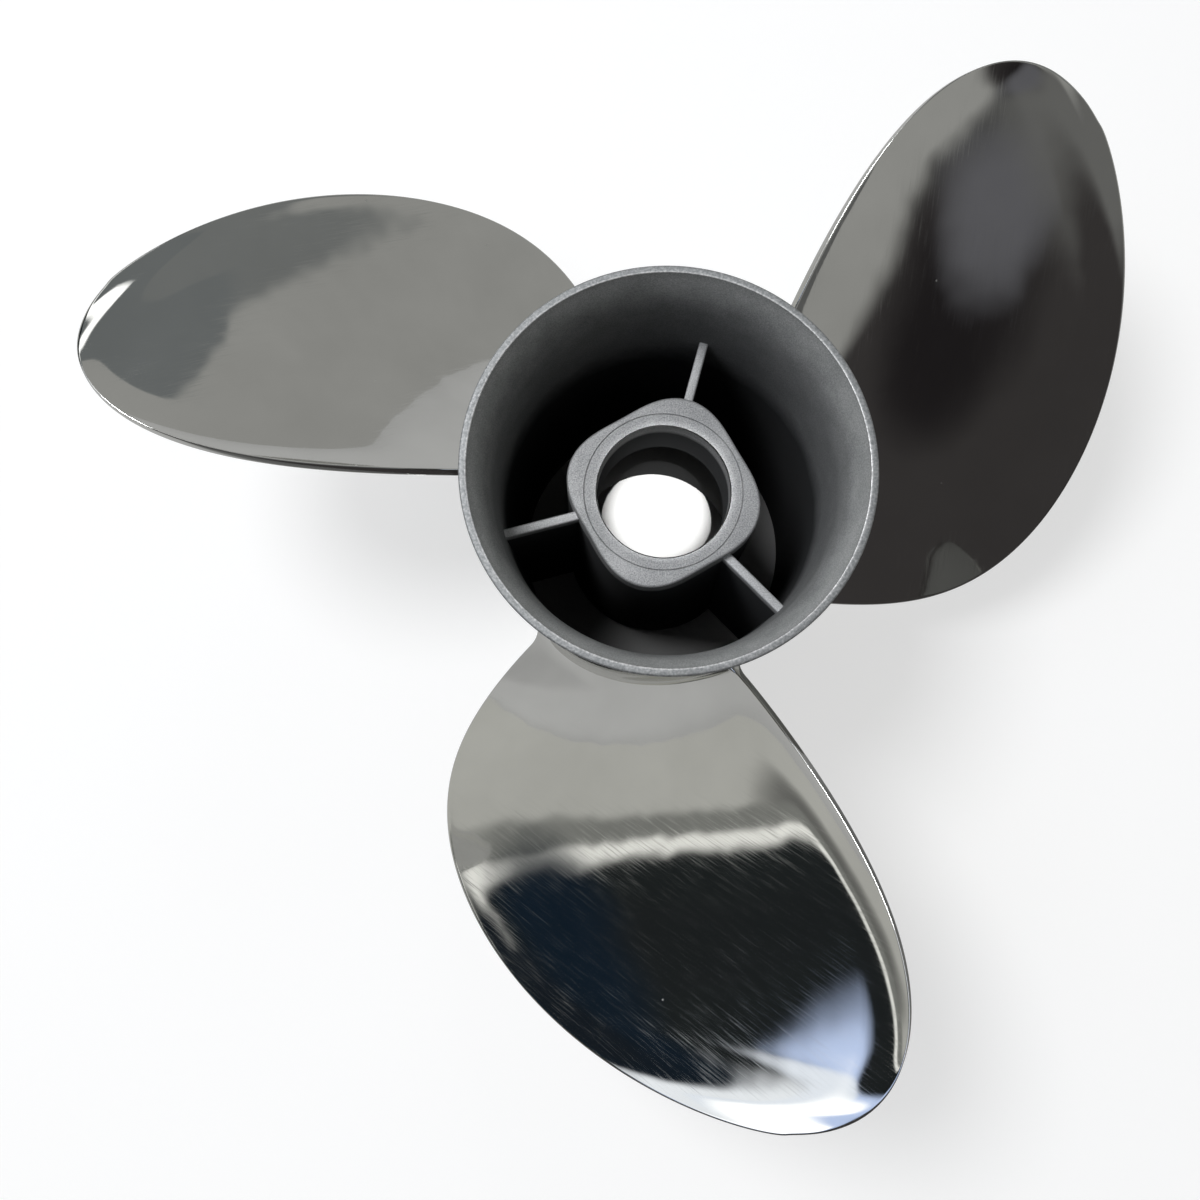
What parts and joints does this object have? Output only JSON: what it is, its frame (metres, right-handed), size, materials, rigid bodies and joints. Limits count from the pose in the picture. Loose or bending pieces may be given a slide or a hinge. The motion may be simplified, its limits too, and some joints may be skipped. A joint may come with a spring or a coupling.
{
  "type": "boat propeller",
  "caption": "Cast stainless steel boat propeller: raked, cupped blades on a flared exhaust barrel with a ribbed, lobed inner hub. Turns clockwise seen from aft.",
  "frame": {"origin": "on the shaft axis, in the plane of the barrel's forward end", "axes": "+Z aft along the shaft axis; -Y along the root of the first blade"},
  "size_m": [0.3377, 0.3228, 0.155],
  "materials": {
    "polished_stainless": "polished"
  },
  "bodies": {
    "root": {"propeller_casting": "polished_stainless"}
  },
  "joints": []
}
